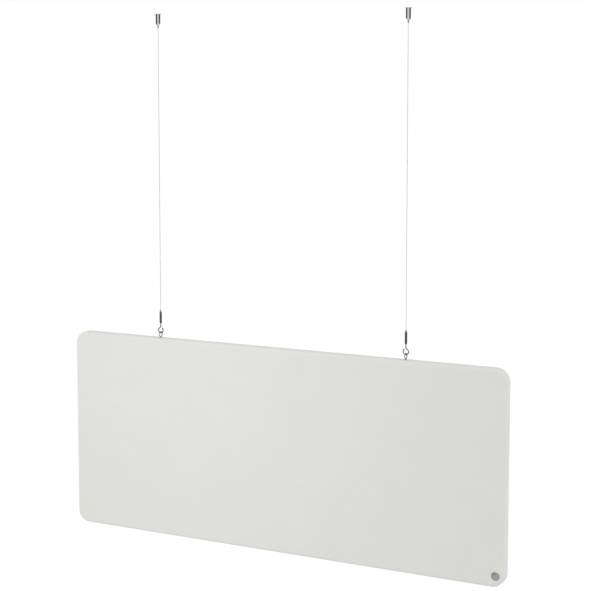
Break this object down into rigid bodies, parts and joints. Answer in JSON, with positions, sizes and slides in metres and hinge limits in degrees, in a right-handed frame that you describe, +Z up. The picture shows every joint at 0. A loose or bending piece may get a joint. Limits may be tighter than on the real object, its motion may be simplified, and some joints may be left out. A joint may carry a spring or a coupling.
{
  "type": "hanging acoustic panel",
  "caption": "Flat fabric-covered sound-absorbing panel with rounded corners, hung level from ceiling fittings on thin adjustable wires with hooks and screw eyes.",
  "frame": {"origin": "on the ceiling plane, midway between the two ceiling fixings", "axes": "+X along the panel to the viewer's right, +Y from the panel's front to its rear, +Z up"},
  "size_m": [1.4, 0.0378, 1.563],
  "materials": {
    "polished_chrome": "polished",
    "bright_steel": "bright zinc",
    "dark_nickel": "dark nickel plate",
    "wire_rope": "stranded",
    "nylon": "moulded",
    "brass": "turned",
    "timber": "planed",
    "felt": "needle felt",
    "cover_fabric": "fine woven polyester",
    "badge_steel": "satin"
  },
  "bodies": {
    "ceiling_fittings": {"left_ceiling_base": "polished_chrome", "left_ceiling_barrel": "polished_chrome", "right_ceiling_base": "polished_chrome", "right_ceiling_barrel": "polished_chrome"},
    "left_seat": {"left_seat_washer": "nylon"},
    "left_hanger": {"left_ball_terminal": "bright_steel", "left_wire": "wire_rope", "left_gripper_body": "dark_nickel", "left_gripper_cap": "bright_steel", "left_spring_seat": "bright_steel", "left_grip_spring": "bright_steel"},
    "left_release": {"left_release_plunger": "bright_steel", "left_lock_balls": "bright_steel", "left_ball_follower": "bright_steel"},
    "left_hook": {"left_hook": "dark_nickel"},
    "right_seat": {"right_seat_washer": "nylon"},
    "right_hanger": {"right_ball_terminal": "bright_steel", "right_wire": "wire_rope", "right_gripper_body": "dark_nickel", "right_gripper_cap": "bright_steel", "right_spring_seat": "bright_steel", "right_grip_spring": "bright_steel"},
    "right_release": {"right_release_plunger": "bright_steel", "right_lock_balls": "bright_steel", "right_ball_follower": "bright_steel"},
    "right_hook": {"right_hook": "dark_nickel"},
    "panel": {"felt_core": "felt", "front_cover": "cover_fabric", "rear_cover": "cover_fabric", "hanging_rail": "timber", "badge": "badge_steel", "badge_anchor": "nylon", "left_eye": "bright_steel", "left_eye_insert": "brass", "right_eye": "bright_steel", "right_eye_insert": "brass"}
  },
  "joints": [
    {"name": "fore_aft_swing", "type": "hinge", "parent": "ceiling_fittings", "child": "left_seat", "pos_m": [-0.4, 0, -0.0275], "axis": [1, 0, 0], "range_deg": [-10, 10]},
    {"name": "side_swing", "type": "hinge", "parent": "left_seat", "child": "left_hanger", "pos_m": [-0.4, 0, -0.0275], "axis": [0, 1, 0], "range_deg": [-8, 8]},
    {"name": "left_hook_level", "type": "hinge", "parent": "left_hanger", "child": "left_hook", "pos_m": [-0.4, 0, -0.9162], "axis": [0, 1, 0], "range_deg": [-8, 8]},
    {"name": "panel_tilt", "type": "hinge", "parent": "left_hook", "child": "panel", "pos_m": [-0.4, 0, -0.953], "axis": [1, 0, 0], "range_deg": [-45, 45]},
    {"name": "right_fore_aft_swing", "type": "hinge", "parent": "ceiling_fittings", "child": "right_seat", "pos_m": [0.4, 0, -0.0275], "axis": [1, 0, 0], "range_deg": [-10, 10]},
    {"name": "right_side_swing", "type": "hinge", "parent": "right_seat", "child": "right_hanger", "pos_m": [0.4, 0, -0.0275], "axis": [0, 1, 0], "range_deg": [-8, 8]},
    {"name": "right_hook_level", "type": "hinge", "parent": "right_hanger", "child": "right_hook", "pos_m": [0.4, 0, -0.9162], "axis": [0, 1, 0], "range_deg": [-8, 8]},
    {"name": "left_release_press", "type": "slide", "parent": "left_hanger", "child": "left_release", "axis": [0, 0, -1], "range_m": [0, 0.002], "stiffness_N_per_m": 600, "springref_m": -0.003, "deforming": ["left_grip_spring"]},
    {"name": "right_release_press", "type": "slide", "parent": "right_hanger", "child": "right_release", "axis": [0, 0, -1], "range_m": [0, 0.002], "stiffness_N_per_m": 600, "springref_m": -0.003, "deforming": ["right_grip_spring"]}
  ],
  "couplings": [
    {"joint": "left_hook_level", "follows": "side_swing", "ratio": -1},
    {"joint": "right_fore_aft_swing", "follows": "fore_aft_swing", "ratio": 1},
    {"joint": "right_side_swing", "follows": "side_swing", "ratio": 1},
    {"joint": "right_hook_level", "follows": "side_swing", "ratio": -1}
  ]
}
